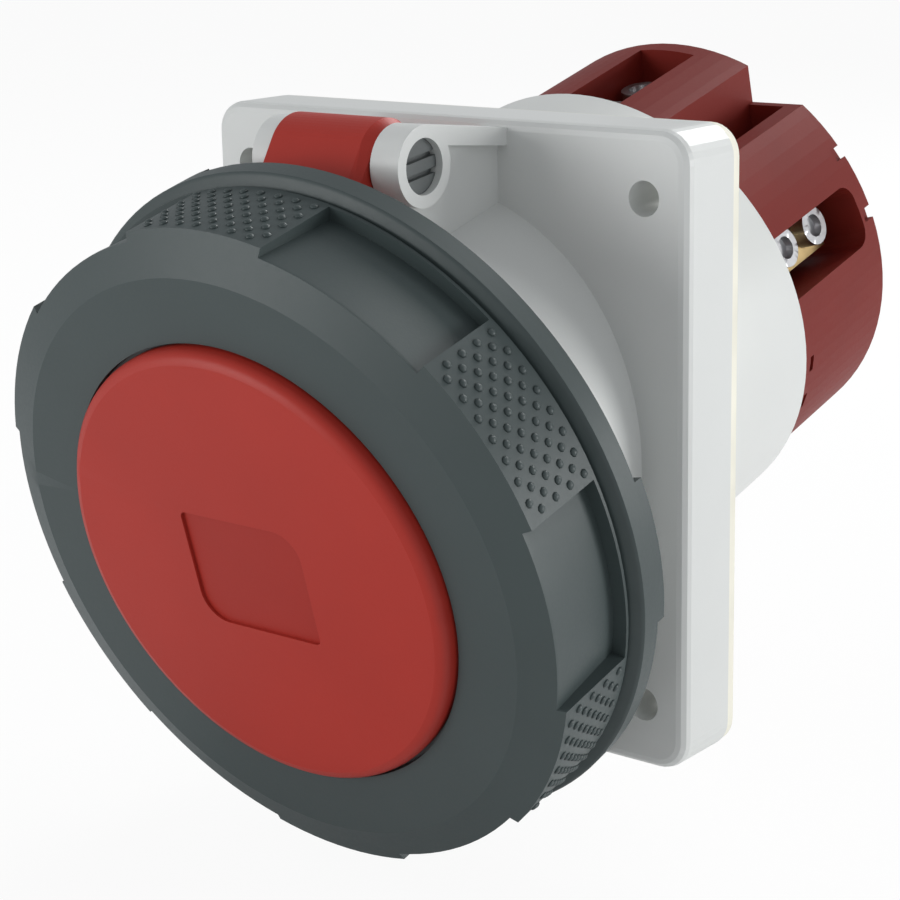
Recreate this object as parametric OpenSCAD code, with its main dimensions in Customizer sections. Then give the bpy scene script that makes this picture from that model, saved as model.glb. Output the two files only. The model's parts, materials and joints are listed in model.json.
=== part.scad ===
// Inclined panel socket, 63 A, five poles, with a hinged lid and a bayonet ring.
// Frame: origin on the panel face, +Y into the panel, +Z up. Millimetres.

/* [Flange] */
// Width across the flange, along X.
flange_w = 101.5; // [90:0.5:130]
// Height of the flange, along Z.
flange_h = 107; // [95:0.5:140]
// Depth of the flange, panel face to front face.
flange_t = 15.5; // [12:0.5:20]
// Corner radius of the flange outline.
corner_r = 5.5; // [4:0.5:9]
// Rounding of the front edges.
edge_r = 1.8; // [0.6:0.1:3]
// Fixing hole pitch along X.
pitch_x = 85; // [76:0.5:90]
// Fixing hole pitch along Z.
pitch_z = 85; // [76:0.5:95]
// Diameter of the fixing holes.
hole_d = 5.8; // [4.5:0.1:6.5]
// Thickness of the panel seal.
seal_t = 2; // [1.5:0.1:3]

/* [Axis] */
// Angle by which the socket faces down.
tilt = 15; // [5:1:20]
// Height at which the socket axis meets the panel face.
axis_z = 2.5; // [0:0.5:5]

/* [Collar and tube] */
// Outer radius of the front collar.
collar_r = 42.2; // [41:0.1:43]
// Inner radius of the front collar.
bore_r = 36.8; // [36:0.1:38]
// Distance of the collar rim in front of the axis point.
rim_z = 56.4; // [54:0.1:56.4]
// Outer radius of the rear tube.
tube_r = 42.8; // [42.6:0.1:44]
// Length of the rear tube.
tube_len = 36.8; // [30:0.2:44]

/* [Bayonet ring] */
// Radius of the grip band.
grip_r = 57.6; // [56.8:0.1:58.4]
// Radius of the rear rim.
rim_r = 59.4; // [58.8:0.1:61]
// Radius of the opening for the lid disc.
eye_r = 39.6; // [39.4:0.1:40]
// Half angle of a finger pocket.
pocket_half = 15.8; // [12:0.1:18]
// Turn from unlocked to locked, degrees.
lock_turn = 30; // [25:1:35]

/* [Lid] */
// Radius of the lid disc.
disc_r = 39; // [38:0.1:39.2]
// Width of the blank label recess.
label_w = 25; // [15:0.5:30]
// Height of the blank label recess.
label_h = 20; // [12:0.5:26]
// Depth of the label recess.
label_d = 0.6; // [0.3:0.1:1]

/* [Hinge] */
// Radius of the hinge pin.
pin_r = 4.5; // [4:0.1:4.6]
// Outer radius of the housing lugs.
lug_r = 6.6; // [6.4:0.1:7]
// Outer radius of the lid knuckle.
knuckle_r = 7.3; // [7:0.1:7.6]

/* [Contacts] */
// Radius of the circle of contacts.
contact_c = 21.5; // [20:0.1:22]
// Bore radius of the phase and neutral sleeves.
sleeve_r = 4.03; // [3.9:0.01:4.1]
// Bore radius of the earth sleeve.
earth_r = 5.03; // [4.9:0.01:5.1]

/* [Carrier] */
// Radius of the rear contact carrier.
carrier_r = 40.9; // [40:0.1:41]
// Length of the carrier behind the axis point.
carrier_len = 69.6; // [66:0.2:74]
// Width of a terminal slot.
slot_w = 12; // [10:0.5:13]
// Angle of the first terminal slot.
slot_a = 15.5; // [14:0.5:18]

/* [Which part] */
// Node to draw.

/* [Hidden] */
hinge_u = 53.8;
hinge_z = 23.9;
arm_l = -11.2;
arm_r = 9.5;
lug_l0 = -15.5;
lug_l1 = -11.5;
lug_r0 = 9.8;
lug_r1 = 15.5;
floor_z = 12;
insert_r = 31;
ring_face = 64.3;
ring_edge = 61.5;
ring_back = 39.3;
ring_in = 53.5;
pocket_back = 45.5;
term_a = 18;
term_z0 = -40;
term_z1 = -63;
clear = 0.05;
tail_r = 3.2;
big = 90;

// Local frame of the tilted socket: +Z out of the front, +Y up, X to the right.
module on_axis() {
  translate([0, 0, axis_z])
    rotate([tilt + 90, 0, 0])
      children();
}

module tube(r1, r2, z0, z1, n = 90) {
  translate([0, 0, z0])
    difference() {
      cylinder(r = r1, h = z1 - z0, $fn = n);
      translate([0, 0, -1])
        cylinder(r = r2, h = z1 - z0 + 2, $fn = n);
    }
}

module wedge(r1, r2, half, z0, z1) {
  translate([0, 0, z0])
    rotate([0, 0, -half])
      rotate_extrude(angle = 2 * half, $fn = 120)
        translate([r1, 0])
          square([r2 - r1, z1 - z0]);
}

module rounded(w, h, r) {
  offset(r = r, $fn = 32)
    square([w - 2 * r, h - 2 * r], center = true);
}

// A slab of the flange outline between two depths behind the panel face.
module outline_slab(inset, y0, y1) {
  translate([0, y1, 0])
    rotate([90, 0, 0])
      linear_extrude(y1 - y0)
        rounded(flange_w - 2 * inset, flange_h - 2 * inset, corner_r - inset);
}

module fixing_holes(r, y0, y1) {
  for (x = [-1, 1], z = [-1, 1])
    translate([x * pitch_x / 2, y1, z * pitch_z / 2])
      rotate([90, 0, 0])
        cylinder(r = r, h = y1 - y0, $fn = 32);
}

module flange_block() {
  hull() {
    outline_slab(0, -flange_t + edge_r, -seal_t);
    outline_slab(0.13 * edge_r, -flange_t + 0.5 * edge_r, -seal_t - 1);
    outline_slab(0.5 * edge_r, -flange_t + 0.13 * edge_r, -seal_t - 1);
    outline_slab(edge_r, -flange_t, -seal_t - 1);
  }
}

// Hollow corners behind the front wall, around the screw bosses.
module corner_hollows() {
  difference() {
    outline_slab(3.2, -flange_t + 3.6, 1);
    on_axis()
      cylinder(r = tube_r + 1.6, h = 80, center = true, $fn = big);
    fixing_holes(5.6, -flange_t, 2);
  }
}

module hinge_side(x0, x1, w0, w1) {
  translate([x0, 0, 0])
    rotate([90, 0, 90])
      linear_extrude(x1 - x0)
        difference() {
          union() {
            translate([lug_y, lug_h])
              circle(r = lug_r, $fn = 48);
            polygon([[lug_y, lug_h + lug_r], [-flange_t + 1, 52.1], [-flange_t + 1, 49.2], [lug_y, lug_h + lug_r - 3.2]]);
          }
          translate([lug_y, lug_h])
            circle(r = pin_r + clear, $fn = 48);
        }
  translate([w0, 0, 0])
    rotate([90, 0, 90])
      linear_extrude(w1 - w0)
        difference() {
          polygon([[lug_y - 1.5, lug_h], [lug_y, lug_h + lug_r - 1], [-flange_t + 1, 50.5], [-flange_t + 1, 36], [lug_y + 3, 30], [lug_y - 1.5, 34]]);
          translate([lug_y, lug_h])
            circle(r = pin_r + clear, $fn = 48);
        }
}

lug_y = -cos(tilt) * hinge_z - sin(tilt) * hinge_u;
lug_h = axis_z + cos(tilt) * hinge_u - sin(tilt) * hinge_z;

module flange_housing() {
  color([0.86, 0.87, 0.86])
    difference() {
      union() {
        flange_block();
        on_axis() {
          translate([0, 0, -tube_len])
            cylinder(r = tube_r, h = tube_len, $fn = big);
          cylinder(r = collar_r, h = rim_z, $fn = big);
          for (a = [-15, 165])
            rotate([0, 0, a])
              wedge(collar_r - 1, 46.2, 8, 46, 50);
        }
        hinge_side(lug_l0, lug_l1, -13.5, lug_l1);
        hinge_side(lug_r0, lug_r1, lug_r0, 13.5);
      }
      corner_hollows();
      fixing_holes(hole_d / 2, -flange_t - 1, 1);
      on_axis() {
        translate([0, 0, -tube_len - 1])
          cylinder(r = carrier_r + 0.15, h = tube_len + 5, $fn = big);
        cylinder(r = insert_r + 0.1, h = 20, $fn = big);
        translate([0, 0, floor_z])
          cylinder(r = bore_r, h = rim_z, $fn = big);
        translate([-4, -bore_r - 2.2, 18])
          cube([8, 6, rim_z]);
        for (a = [123.5, 339.5])
          rotate([0, 0, a])
            translate([34.5, 0, 3])
              cylinder(r = 1.6, h = 6, $fn = 24);
      }
    }
}

module flange_seal() {
  color([0.93, 0.92, 0.86])
    difference() {
      outline_slab(0.25, -seal_t, 0);
      on_axis()
        cylinder(r = tube_r + 1.2, h = 60, center = true, $fn = big);
      fixing_holes(hole_d / 2, -seal_t - 1, 1);
    }
}

module hinge_pin() {
  color([0.36, 0.38, 0.38])
    translate([0, lug_y, lug_h])
      rotate([0, 90, 0])
        difference() {
          translate([0, 0, lug_l0 + 0.3])
            cylinder(r = pin_r, h = lug_r1 - lug_l0 - 1.6, $fn = 48);
          for (v = [-1.7, 1.1])
            rotate([0, 0, 8])
              translate([v, -6, lug_r1 - 2.3])
                cube([0.9, 12, 2]);
        }
}

// Chamber that holds one terminal, open outwards through its slot.
module terminal_chamber(square_end) {
  rotate([0, 0, slot_a - term_a])
    translate([24, 0, 0])
      rotate([90, 0, 90])
        linear_extrude(24)
          translate([-slot_w / 2, -66])
            union() {
              translate([0, square_end ? 0 : 3])
                square([slot_w, square_end ? 44 : 41]);
              if (!square_end)
                translate([3, 0])
                  square([slot_w - 6, 4]);
              if (!square_end)
                for (x = [3, slot_w - 3])
                  translate([x, 3.01])
                    circle(r = 3, $fn = 24);
            }
  translate([19.5, -6, term_z1 - 0.1])
    cube([14, 12, 30]);
  translate([26, 0, -carrier_len - 1])
    cylinder(r = 5, h = 20, $fn = 24);
}

module contact_carrier() {
  color([0.50, 0.17, 0.15])
    on_axis()
      difference() {
        translate([0, 0, -carrier_len])
          cylinder(r = carrier_r, h = carrier_len + 3.8, $fn = big);
        translate([0, 0, -38])
          cylinder(r = insert_r + 0.1, h = 60, $fn = big);
        for (k = [0:4])
          rotate([0, 0, term_a + 72 * k])
            terminal_chamber(k == 1);
        for (a = [123.5, 339.5])
          rotate([0, 0, a])
            translate([34.5, 0, 0]) {
              translate([0, 0, -8])
                cylinder(r = 2.1, h = 15, $fn = 24);
              translate([0, 0, -80])
                cylinder(r = 3.7, h = 73, $fn = 24);
            }
        translate([17, 30, -80])
          cube([30, 20, 80]);
        translate([17, 24, -68.2])
          cube([7.5, 20, 30]);
        for (a = [31.5, 13.8])
          rotate([0, 0, a])
            translate([39.7, -1.2, -75])
              cube([5, 2.4, 8.2]);
        for (a = [-13, -25])
          rotate([0, 0, a])
            translate([39.7, -1.6, -43.2])
              cube([5, 3.2, 1.2]);
      }
}

module contact_insert() {
  color([0.52, 0.18, 0.15])
    on_axis()
      difference() {
        union() {
          translate([0, 0, -16])
            cylinder(r = insert_r, h = 62, $fn = big);
        }
        for (k = [0:4])
          rotate([0, 0, 270 + 72 * k])
            translate([contact_c, 0, 0]) {
              translate([0, 0, 6])
                cylinder(r = (k == 0 ? 6.6 : 5.6) + clear, h = 60, $fn = 32);
              translate([0, 0, -20])
                cylinder(r = tail_r + clear, h = 40, $fn = 32);
            }
        translate([0, 0, -17])
          cylinder(r = 8, h = 58, $fn = 32);
      }
}

// One contact: sleeve in front, tail, bridge and clamp cage behind.
module contact(a, rs) {
  rotate([0, 0, a]) {
    translate([contact_c, 0, 0])
      difference() {
        union() {
          translate([0, 0, 6.1])
            cylinder(r = rs + 1.5, h = 37, $fn = 32);
          translate([0, 0, -22])
            cylinder(r = tail_r, h = 30, $fn = 32);
        }
        translate([0, 0, 10])
          cylinder(r = rs, h = 40, $fn = 32);
        translate([-10, -0.5, 29])
          cube([20, 1, 30]);
        translate([0, 0, 38])
          tube(rs + 2, rs + 0.9, 0, 1.6, 32);
      }
    difference() {
      union() {
        translate([0, 0, -24])
          linear_extrude(4)
            hull() {
              translate([contact_c, 0])
                circle(r = 4.2, $fn = 32);
              rotate(-36)
                translate([26, 0])
                  circle(r = 4.2, $fn = 32);
            }
        rotate([0, 0, -36])
          translate([23, -3, term_z0])
            cube([6, 6, term_z0 * -1 - 22]);
        rotate([0, 0, -36])
          translate([20, -5.2, term_z1])
            cube([13, 10.4, term_z0 - term_z1]);
      }
      rotate([0, 0, -36])
        translate([21.6, -3.7, term_z1 - 1])
          cube([8.4, 7.4, 20.5]);
      rotate([0, 0, -36])
        for (z = [-47.5, -58])
          translate([28, 0, z])
            rotate([0, 90, 0])
              cylinder(r = 2.6, h = 8, $fn = 24);
    }
  }
}

module contact_l1() {
  color([0.80, 0.66, 0.36])
    on_axis()
      contact(126, sleeve_r);
}

module contact_l2() {
  color([0.80, 0.66, 0.36])
    on_axis()
      contact(54, sleeve_r);
}

module contact_l3() {
  color([0.80, 0.66, 0.36])
    on_axis()
      contact(-18, sleeve_r);
}

module contact_n() {
  color([0.80, 0.66, 0.36])
    on_axis()
      contact(198, sleeve_r);
}

module contact_pe() {
  color([0.80, 0.66, 0.36])
    on_axis()
      contact(270, earth_r);
}

module contact_springs() {
  color([0.62, 0.63, 0.65])
    on_axis()
      for (k = [0:4])
        rotate([0, 0, 270 + 72 * k])
          translate([contact_c, 0, 38.2])
            difference() {
              tube((k == 0 ? earth_r : sleeve_r) + 1.5, (k == 0 ? earth_r : sleeve_r) + 0.95, 0, 1.2, 32);
              translate([0, -0.4, -1])
                cube([10, 0.8, 4]);
            }
}

module terminal_screws() {
  color([0.74, 0.74, 0.75])
    on_axis()
      for (k = [0:4])
        rotate([0, 0, term_a + 72 * k])
          for (z = [-47.5, -58])
            translate([27.6, 0, z])
              rotate([0, 90, 0])
                difference() {
                  union() {
                    cylinder(r = 2.5, h = 6.5, $fn = 24);
                    translate([0, 0, 5.5])
                      cylinder(r = 3.6, h = 3, $fn = 32);
                  }
                  translate([0, 0, 6.9])
                    cylinder(r = 2.1, h = 4, $fn = 24);
                }
}

module terminal_clamps() {
  color([0.66, 0.66, 0.67])
    on_axis()
      for (k = [0:4])
        rotate([0, 0, term_a + 72 * k])
          translate([26.1, -3.3, term_z1 + 0.5])
            cube([1.5, 6.6, 18]);
}

module carrier_screws() {
  color([0.70, 0.70, 0.72])
    on_axis()
      for (a = [123.5, 339.5])
        rotate([0, 0, a])
          translate([34.5, 0, 0])
            difference() {
              union() {
                translate([0, 0, -7])
                  cylinder(r = 1.55, h = 15, $fn = 24);
                translate([0, 0, -9.2])
                  cylinder(r = 3.4, h = 2.2, $fn = 24);
              }
              translate([0, 0, -10])
                cylinder(r = 1.3, h = 2, $fn = 6);
            }
}

module collar_seal() {
  color([0.16, 0.16, 0.17])
    on_axis()
      tube(bore_r - clear, insert_r + clear, floor_z, floor_z + 3, big);
}

// A slab of the lid arm between two X positions, its outline drawn in by a margin.
module arm_slab(x0, x1, inset) {
  translate([x0, 0, 0])
    rotate([90, 0, 90])
      linear_extrude(x1 - x0)
        hull() {
          translate([hinge_u, hinge_z])
            circle(r = knuckle_r - inset, $fn = 64);
          translate([48.8, 36.5])
            circle(r = 2.2 - inset / 2, $fn = 32);
        }
}

module lid() {
  color([0.66, 0.22, 0.19])
    on_axis()
      difference() {
        union() {
          rotate_extrude($fn = big)
            polygon([[35, 57], [46, 57], [46, 60], [disc_r, 60], [disc_r, 64.9], [disc_r - 0.3, 65.9], [disc_r - 1, 66.6], [disc_r - 2, 66.9], [0, 66.9], [0, 63.5], [35, 63.5]]);
          intersection() {
            tube(51.6, 44, 57, 60, 120);
            translate([arm_l, 30, 50])
              cube([arm_r - arm_l, 30, 20]);
          }
          intersection() {
            tube(51.6, 47.2, 35, 60, 120);
            translate([arm_l, 30, 30])
              cube([arm_r - arm_l, 30, 40]);
          }
          hull() {
            arm_slab(arm_l, arm_r - 1.8, 0);
            arm_slab(arm_l + 1, arm_r, 1.3);
          }
        }
        translate([-20, hinge_u, hinge_z])
          rotate([0, 90, 0])
            cylinder(r = pin_r + 0.08, h = 40, $fn = 48);
        tube(42.9, 36.9, 56, 59, big);
        tube(44, 37.5, 61.5, 62.7, big);
        translate([0, -0.5, 66.9 - label_d])
          linear_extrude(2)
            label_outline();
      }
}

// Blank recess with two large and two small corners.
module label_outline() {
  hull() {
    translate([label_w / 2 - 5, label_h / 2 - 5])
      circle(r = 5, $fn = 32);
    translate([-label_w / 2 + 5, -label_h / 2 + 5])
      circle(r = 5, $fn = 32);
    translate([label_w / 2 - 1, -label_h / 2 + 1])
      circle(r = 1, $fn = 24);
    translate([-label_w / 2 + 1, label_h / 2 - 1])
      circle(r = 1, $fn = 24);
  }
}

module lid_seal() {
  color([0.15, 0.15, 0.16])
    on_axis()
      tube(42.9 - clear, 36.9 + clear, 56.7, 58.95, big);
}

module ring_keeper() {
  color([0.60, 0.61, 0.63])
    on_axis()
      difference() {
        tube(41, 37.6, 61.6, 62.6, big);
        translate([-2, -45, 60])
          cube([4, 10, 4]);
      }
}

module finger_pocket() {
  rotate([0, 0, -pocket_half])
    rotate_extrude(angle = 2 * pocket_half, $fn = 120)
      polygon([[55.2, pocket_back], [66, pocket_back], [66, 66], [55.9, 66], [56.2, ring_edge]]);
}

module bayonet_ring() {
  color([0.29, 0.33, 0.33])
    on_axis() {
      difference() {
        union() {
          rotate_extrude($fn = 120)
            polygon([[eye_r, 60.3], [eye_r, ring_face], [50.5, ring_face], [grip_r, ring_edge], [grip_r, 44.9], [grip_r - 0.7, 44.7], [grip_r - 0.7, 44.2], [rim_r - 0.5, 43.6], [rim_r, 43], [rim_r, ring_back], [ring_in, ring_back], [ring_in, 60.3]]);
          for (a = [0, 120, 240])
            rotate([0, 0, a])
              wedge(56, rim_r - 0.02, 12, ring_back - 1.8, ring_back + 1);
          for (a = [15, 195])
            rotate([0, 0, a])
              wedge(43.7, ring_in + 0.5, 8, 41.6, 45.6);
        }
        tube(41.4, 39, 61.3, 62.9, big);
        for (k = [0:5])
          rotate([0, 0, 60 * k])
            finger_pocket();
      }
    }
}

flange_housing();
flange_seal();
hinge_pin();
contact_carrier();
contact_insert();
contact_l1();
contact_l2();
contact_l3();
contact_n();
contact_pe();
contact_springs();
terminal_screws();
terminal_clamps();
carrier_screws();
collar_seal();
lid();
lid_seal();
ring_keeper();
bayonet_ring();
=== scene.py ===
"""Looks of the inclined panel socket: finishes, grip studs, eased edges, light and camera.

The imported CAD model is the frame. Everything here is in metres, in the CAD's own frame:
origin on the panel face, +Y into the panel, +Z up. The socket's own axis is tilted; local
points are (x, u, z) with z out of the front along that axis, u up and x to the right.
"""

import json
import math

import bmesh
import bpy
from mathutils import Matrix, Vector


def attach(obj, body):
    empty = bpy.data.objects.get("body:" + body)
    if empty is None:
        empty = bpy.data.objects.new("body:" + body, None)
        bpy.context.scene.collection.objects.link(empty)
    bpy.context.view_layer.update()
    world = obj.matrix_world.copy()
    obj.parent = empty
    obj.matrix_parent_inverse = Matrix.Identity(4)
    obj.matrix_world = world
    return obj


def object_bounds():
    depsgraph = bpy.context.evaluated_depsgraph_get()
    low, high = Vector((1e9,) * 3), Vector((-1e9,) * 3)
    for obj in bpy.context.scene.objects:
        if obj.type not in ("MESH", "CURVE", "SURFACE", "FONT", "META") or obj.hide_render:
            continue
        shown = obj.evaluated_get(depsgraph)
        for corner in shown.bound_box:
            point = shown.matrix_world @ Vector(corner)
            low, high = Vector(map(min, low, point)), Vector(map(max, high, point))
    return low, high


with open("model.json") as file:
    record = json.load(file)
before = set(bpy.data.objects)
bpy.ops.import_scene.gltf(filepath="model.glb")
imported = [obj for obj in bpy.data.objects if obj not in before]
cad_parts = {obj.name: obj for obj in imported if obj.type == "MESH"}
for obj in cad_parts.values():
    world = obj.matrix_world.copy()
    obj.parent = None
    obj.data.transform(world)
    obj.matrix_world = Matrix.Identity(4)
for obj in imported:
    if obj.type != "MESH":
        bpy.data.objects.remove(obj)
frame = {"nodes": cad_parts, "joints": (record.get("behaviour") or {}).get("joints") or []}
CAD_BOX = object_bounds()
NODES = frame["nodes"]
MM = 0.001

# ---------------------------------------------------------------- socket axis, from the joints

RING_JOINT = next(j for j in frame["joints"] if j["name"] == "ring_turn")
FRONT = -Vector(RING_JOINT["axis"]).normalized()
UP = Vector((1, 0, 0)).cross(-FRONT).normalized()
if UP.z < 0:
    UP = -UP
AXIS_POINT = Vector(RING_JOINT["pos_m"])
AXIS_POINT -= FRONT * (AXIS_POINT.y / FRONT.y)  # where the axis meets the panel face


def local(x, u, z):
    """A point of the tilted socket, given in millimetres, in the row frame."""
    return AXIS_POINT + MM * (x * Vector((1, 0, 0)) + u * UP + z * FRONT)


def polar(r, angle, z):
    """The same, by radius and angle in degrees, counted from +X towards up."""
    a = math.radians(angle)
    return local(r * math.cos(a), r * math.sin(a), z)


# The label recess lies within these bounds; the lid's base colour is darkened there as painted shade.
LABEL_FLOOR = 66.6  # local z in millimetres under which the recess floor lies
LABEL_REACH = 17.0  # the recess stays within this radius

# ---------------------------------------------------------------- materials


def new_material(name):
    mat = bpy.data.materials.new(name)
    mat.use_nodes = True
    tree = mat.node_tree
    tree.nodes.clear()
    out = tree.nodes.new("ShaderNodeOutputMaterial")
    shader = tree.nodes.new("ShaderNodeBsdfPrincipled")
    tree.links.new(shader.outputs[0], out.inputs[0])
    return mat, tree, shader


def noise(tree, coords, scale, detail=2.0, rough=0.5):
    node = tree.nodes.new("ShaderNodeTexNoise")
    node.inputs["Scale"].default_value = scale
    node.inputs["Detail"].default_value = detail
    node.inputs["Roughness"].default_value = rough
    tree.links.new(coords, node.inputs["Vector"])
    return node.outputs["Fac"]


def remap(tree, value, low, high):
    node = tree.nodes.new("ShaderNodeMapRange")
    node.inputs["To Min"].default_value = low
    node.inputs["To Max"].default_value = high
    tree.links.new(value, node.inputs["Value"])
    return node.outputs["Result"]


def mottled(tree, value, colour, spread):
    """colour, a little darker and lighter over the surface by value."""
    ramp = tree.nodes.new("ShaderNodeValToRGB")
    ramp.color_ramp.elements[0].position = 0.3
    ramp.color_ramp.elements[1].position = 0.7
    for element, k in zip(ramp.color_ramp.elements, (1 - spread, 1 + spread)):
        element.color = (*(min(1.0, c * k) for c in colour), 1)
    tree.links.new(value, ramp.inputs["Fac"])
    return ramp.outputs["Color"]


def bumped(tree, shader, height, strength, distance):
    node = tree.nodes.new("ShaderNodeBump")
    node.inputs["Strength"].default_value = strength
    node.inputs["Distance"].default_value = distance
    tree.links.new(height, node.inputs["Height"])
    tree.links.new(node.outputs["Normal"], shader.inputs["Normal"])


def plastic(
    name, colour, roughness=0.42, spread=0.05, grain=1800, bump=0.25, specular=0.5, subsurface=0.0
):
    """Injection-moulded plastic: faint mottling, spark-eroded grain, uneven gloss."""
    mat, tree, shader = new_material(name)
    coords = tree.nodes.new("ShaderNodeTexCoord").outputs["Object"]
    broad = noise(tree, coords, 38, 3)
    fine = noise(tree, coords, grain, 3, 0.6)
    tree.links.new(mottled(tree, broad, colour, spread), shader.inputs["Base Color"])
    tree.links.new(remap(tree, fine, roughness - 0.07, roughness + 0.07), shader.inputs["Roughness"])
    shader.inputs["Specular IOR Level"].default_value = specular
    if subsurface:
        shader.inputs["Subsurface Weight"].default_value = subsurface
        shader.inputs["Subsurface Radius"].default_value = (0.002, 0.002, 0.0018)
    bumped(tree, shader, fine, bump, 0.00006)
    return mat


def rubber(name, colour):
    mat, tree, shader = new_material(name)
    coords = tree.nodes.new("ShaderNodeTexCoord").outputs["Object"]
    fine = noise(tree, coords, 900, 4, 0.7)
    tree.links.new(mottled(tree, noise(tree, coords, 60), colour, 0.08), shader.inputs["Base Color"])
    tree.links.new(remap(tree, fine, 0.62, 0.82), shader.inputs["Roughness"])
    shader.inputs["Specular IOR Level"].default_value = 0.35
    bumped(tree, shader, fine, 0.3, 0.0001)
    return mat


def metal(name, colour, roughness, stretch=(1, 1, 1)):
    """Turned or plated metal, with fine tool marks along one direction."""
    mat, tree, shader = new_material(name)
    coords = tree.nodes.new("ShaderNodeTexCoord").outputs["Object"]
    mapping = tree.nodes.new("ShaderNodeMapping")
    mapping.inputs["Scale"].default_value = stretch
    tree.links.new(coords, mapping.inputs["Vector"])
    marks = noise(tree, mapping.outputs["Vector"], 520, 3, 0.5)
    shader.inputs["Metallic"].default_value = 1.0
    tree.links.new(mottled(tree, noise(tree, coords, 120), colour, 0.06), shader.inputs["Base Color"])
    tree.links.new(remap(tree, marks, roughness - 0.06, roughness + 0.08), shader.inputs["Roughness"])
    bumped(tree, shader, marks, 0.05, 0.00004)
    return mat


def paint_recess_shade(mat):
    """Painted shade: the floor of the blank label recess is darkened in the base colour, standing in
    for the shade that falls in the recess.
    """
    tree = mat.node_tree
    shader = next(n for n in tree.nodes if n.type == "BSDF_PRINCIPLED")

    def vector_math(operation, first, second=None):
        node = tree.nodes.new("ShaderNodeVectorMath")
        node.operation = operation
        tree.links.new(first, node.inputs[0])
        if second is not None:
            node.inputs[1].default_value = second
        return node

    def below(value, limit):
        node = tree.nodes.new("ShaderNodeMath")
        node.operation = "LESS_THAN"
        node.inputs[1].default_value = limit
        tree.links.new(value, node.inputs[0])
        return node.outputs[0]

    coords = tree.nodes.new("ShaderNodeTexCoord").outputs["Object"]
    from_axis = vector_math("SUBTRACT", coords, AXIS_POINT).outputs["Vector"]
    height = vector_math("DOT_PRODUCT", from_axis, FRONT).outputs["Value"]
    across = vector_math("CROSS_PRODUCT", from_axis, FRONT).outputs["Vector"]
    reach = vector_math("LENGTH", across).outputs["Value"]
    painted_shade_mask = tree.nodes.new("ShaderNodeMath")
    painted_shade_mask.operation = "MULTIPLY"
    tree.links.new(below(height, LABEL_FLOOR * MM), painted_shade_mask.inputs[0])
    tree.links.new(below(reach, LABEL_REACH * MM), painted_shade_mask.inputs[1])
    # Painted shade: inside the recess the base colour is multiplied by a darker tint.
    shade = tree.nodes.new("ShaderNodeMix")
    shade.data_type = "RGBA"
    shade.blend_type = "MULTIPLY"
    recess_shade_tint = next(i for i in shade.inputs if i.name == "B" and i.type == "RGBA")
    recess_shade_tint.default_value = (0.88, 0.80, 0.78, 1)
    painted = shader.inputs["Base Color"].links[0].from_socket
    share = next(i for i in shade.inputs if i.name == "Factor" and i.type == "VALUE")
    tree.links.new(painted_shade_mask.outputs[0], share)
    tree.links.new(painted, next(i for i in shade.inputs if i.name == "A" and i.type == "RGBA"))
    tree.links.new(next(o for o in shade.outputs if o.type == "RGBA"), shader.inputs["Base Color"])


HOUSING = plastic("housing_white", (0.700, 0.715, 0.700), 0.38, 0.012, 1500, 0.10, 0.45, 0.04)
RING = plastic("ring_slate", (0.052, 0.070, 0.070), 0.46, 0.04, 1700, 0.22, 0.42)
LID_RED = plastic("lid_red", (0.420, 0.032, 0.021), 0.44, 0.035, 1700, 0.22, 0.28)
# Painted shade: the lid's label recess is darkened in its base colour.
paint_recess_shade(LID_RED)
CARRIER = plastic("carrier_red_brown", (0.185, 0.017, 0.012), 0.52, 0.06, 1300, 0.22, 0.16)
PIN = plastic("pin_grey", (0.135, 0.148, 0.148), 0.36, 0.05, 1500, 0.15, 0.5)
IVORY = rubber("seal_ivory", (0.86, 0.84, 0.73))
BLACK = rubber("seal_black", (0.022, 0.022, 0.024))
BRASS = metal("contact_brass", (0.58, 0.43, 0.21), 0.32)
ZINC = metal("screw_zinc", (0.50, 0.50, 0.51), 0.30, (1, 1, 4))

FINISH = {
    "flange_housing": HOUSING,
    "flange_seal": IVORY,
    "hinge_pin": PIN,
    "contact_carrier": CARRIER,
    "contact_insert": CARRIER,
    "contact_l1": BRASS,
    "contact_l2": BRASS,
    "contact_l3": BRASS,
    "contact_n": BRASS,
    "contact_pe": BRASS,
    "contact_springs": ZINC,
    "terminal_screws": ZINC,
    "terminal_clamps": ZINC,
    "carrier_screws": ZINC,
    "collar_seal": BLACK,
    "lid": LID_RED,
    "lid_seal": BLACK,
    "ring_keeper": PIN,
    "bayonet_ring": RING,
}

# Moulded edges: how far each node's sharp edges are eased, in millimetres.
EASED = {
    "flange_housing": 0.35,
    "contact_carrier": 0.35,
    "lid": 0.3,
    "bayonet_ring": 0.3,
    "hinge_pin": 0.2,
    "terminal_screws": 0.2,
}


def ease_edges(obj, width):
    weld = obj.modifiers.new("join_seams", "WELD")
    weld.merge_threshold = 1e-6
    bevel = obj.modifiers.new("eased_edges", "BEVEL")
    bevel.width = width * MM
    bevel.segments = 2
    bevel.limit_method = "ANGLE"
    bevel.angle_limit = math.radians(38)
    bevel.use_clamp_overlap = True
    flat = obj.modifiers.new("flat_faces_stay_flat", "WEIGHTED_NORMAL")
    flat.weight = 80
    flat.keep_sharp = True


for node_name, obj in NODES.items():
    obj.data.materials.clear()
    obj.data.materials.append(FINISH[node_name])
    if node_name in EASED:
        ease_edges(obj, EASED[node_name])

# ---------------------------------------------------------------- grip studs

GRIP_R = 57.6
STUD_R = 0.78
STUD_H = 0.42
STUD_SIDES = 8
STUD_PITCH = 3.66  # along the axis
ROW_STEP = 1.79 / GRIP_R  # radians from one row to the next
ZONE_HALF = math.radians(13.2)
GRIP_BACK = 46.9
GRIP_FRONT = 60.6


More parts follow.
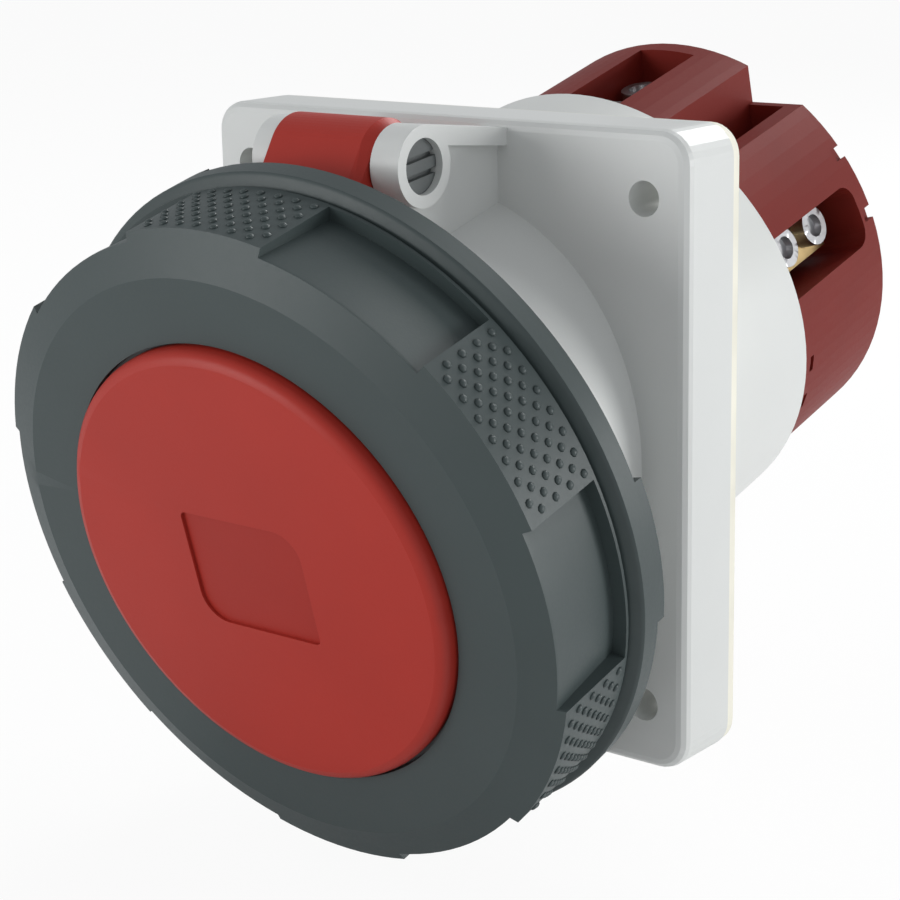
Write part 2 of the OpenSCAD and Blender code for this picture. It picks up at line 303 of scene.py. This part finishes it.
def stud(bm, angle, z):
    """A low domed stud: a rim just under the grip band, two smaller rings and a tip."""
    centre = polar(GRIP_R, math.degrees(angle), z)
    out = (centre - local(0, 0, z)).normalized()
    side = FRONT.cross(out)
    rings = []
    for share, height in ((1.0, -0.08), (0.72, 0.62), (0.34, 0.94)):
        ring = []
        for k in range(STUD_SIDES):
            a = 2 * math.pi * k / STUD_SIDES
            spread = STUD_R * share * MM
            offset = side * math.cos(a) * spread + FRONT * math.sin(a) * spread
            ring.append(bm.verts.new(centre + offset + out * (STUD_H * height * MM)))
        rings.append(ring)
    tip = bm.verts.new(centre + out * (STUD_H * MM))
    bm.faces.new(list(reversed(rings[0])))
    for lower, upper in zip(rings, rings[1:]):
        for k in range(STUD_SIDES):
            n = (k + 1) % STUD_SIDES
            bm.faces.new((lower[k], lower[n], upper[n], upper[k]))
    for k in range(STUD_SIDES):
        bm.faces.new((rings[-1][k], rings[-1][(k + 1) % STUD_SIDES], tip))


def grip_studs():
    bm = bmesh.new()
    rows = int(2 * ZONE_HALF / ROW_STEP)
    start = -rows * ROW_STEP / 2
    for zone in range(6):
        middle = math.radians(30 + 60 * zone)
        for row in range(rows + 1):
            z = GRIP_BACK + (STUD_PITCH / 2 if row % 2 else 0)
            while z <= GRIP_FRONT:
                stud(bm, middle + start + row * ROW_STEP, z)
                z += STUD_PITCH
    bmesh.ops.recalc_face_normals(bm, faces=bm.faces)
    mesh = bpy.data.meshes.new("grip_studs")
    bm.to_mesh(mesh)
    bm.free()
    mesh.shade_smooth()
    obj = bpy.data.objects.new("grip_studs", mesh)
    bpy.context.scene.collection.objects.link(obj)
    mesh.materials.append(RING)
    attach(obj, "ring")


grip_studs()

# ---------------------------------------------------------------- floor, light and camera

CAMERA_ANGLES = (38.8, 14.6, -1.2)  # azimuth, elevation and roll, in degrees
CAMERA_PLACE = (0.2423, -0.3142, 0.0954)
SENSOR_WIDTH = 36
LENS = 91.04
FLOOR_SIZE = 40.0
FLOOR_GAP = 0.006  # from the lowest point of the CAD model
FLOOR_WHITE = 0.93  # share of plain white that the camera sees; the rest keeps the shadow
AMBIENT = 0.46


def stage_material():
    """White floor: mostly white to the camera, with the object's soft shadow left on it."""
    mat = bpy.data.materials.new("stage_white")
    mat.use_nodes = True
    tree = mat.node_tree
    tree.nodes.clear()
    out = tree.nodes.new("ShaderNodeOutputMaterial")
    diffuse = tree.nodes.new("ShaderNodeBsdfDiffuse")
    diffuse.inputs["Color"].default_value = (0.88, 0.88, 0.88, 1)
    glow = tree.nodes.new("ShaderNodeEmission")
    glow.inputs["Color"].default_value = (1, 1, 1, 1)
    mix = tree.nodes.new("ShaderNodeMixShader")
    path = tree.nodes.new("ShaderNodeLightPath")
    share = tree.nodes.new("ShaderNodeMath")
    share.operation = "MULTIPLY"
    share.inputs[1].default_value = FLOOR_WHITE
    tree.links.new(path.outputs["Is Camera Ray"], share.inputs[0])
    tree.links.new(share.outputs[0], mix.inputs["Fac"])
    tree.links.new(diffuse.outputs[0], mix.inputs[1])
    tree.links.new(glow.outputs[0], mix.inputs[2])
    tree.links.new(mix.outputs[0], out.inputs[0])
    return mat


def floor():
    height = CAD_BOX[0].z - FLOOR_GAP
    bpy.ops.mesh.primitive_plane_add(size=FLOOR_SIZE, location=(0, 0, height))
    obj = bpy.context.object
    obj.name = "floor"
    obj.data.materials.append(stage_material())


def world_light():
    world = bpy.data.worlds.new("studio")
    bpy.context.scene.world = world
    world.use_nodes = True
    tree = world.node_tree
    tree.nodes.clear()
    out = tree.nodes.new("ShaderNodeOutputWorld")
    soft = tree.nodes.new("ShaderNodeBackground")
    soft.inputs["Color"].default_value = (0.95, 0.97, 1.0, 1)
    soft.inputs["Strength"].default_value = AMBIENT
    white = tree.nodes.new("ShaderNodeBackground")
    white.inputs["Color"].default_value = (1, 1, 1, 1)
    white.inputs["Strength"].default_value = 1.0
    mix = tree.nodes.new("ShaderNodeMixShader")
    path = tree.nodes.new("ShaderNodeLightPath")
    tree.links.new(path.outputs["Is Camera Ray"], mix.inputs["Fac"])
    tree.links.new(soft.outputs[0], mix.inputs[1])
    tree.links.new(white.outputs[0], mix.inputs[2])
    tree.links.new(mix.outputs[0], out.inputs[0])


def lamp(name, place, aim, size, watts, colour=(1, 1, 1)):
    data = bpy.data.lights.new(name, "AREA")
    data.shape = "DISK"
    data.size = size
    data.energy = watts
    data.color = colour
    obj = bpy.data.objects.new(name, data)
    obj.location = place
    obj.rotation_mode = "QUATERNION"
    obj.rotation_quaternion = (Vector(aim) - Vector(place)).to_track_quat("-Z", "Y")
    bpy.context.scene.collection.objects.link(obj)


def camera():
    """The photograph's angle: right of the front and a little above, with a slight roll."""
    azimuth, elevation, roll = (math.radians(v) for v in CAMERA_ANGLES)
    back = Vector((
        math.sin(azimuth) * math.cos(elevation),
        -math.cos(azimuth) * math.cos(elevation),
        math.sin(elevation),
    ))
    right = Vector((math.cos(azimuth), math.sin(azimuth), 0))
    up = back.cross(right)
    turn = Matrix((right, up, back)).transposed() @ Matrix.Rotation(roll, 3, "Z")
    data = bpy.data.cameras.new("photo_camera")
    data.sensor_width = SENSOR_WIDTH
    data.lens = LENS
    data.clip_start = 0.01
    data.clip_end = 60
    obj = bpy.data.objects.new("photo_camera", data)
    obj.rotation_mode = "QUATERNION"
    obj.rotation_quaternion = turn.to_quaternion()
    obj.location = CAMERA_PLACE
    bpy.context.scene.collection.objects.link(obj)
    bpy.context.scene.camera = obj


floor()
world_light()
lamp("key_right", (0.95, 0.55, 0.10), (0, 0, 0), 0.45, 5.2)
lamp("fill_front", (-0.55, -1.0, 0.12), (0, -0.03, 0), 0.7, 5.6)
lamp("top_soft", (0.05, 0.90, 0.62), (0, 0, 0), 0.6, 7.5)
camera()
bpy.context.scene.view_settings.view_transform = "Standard"
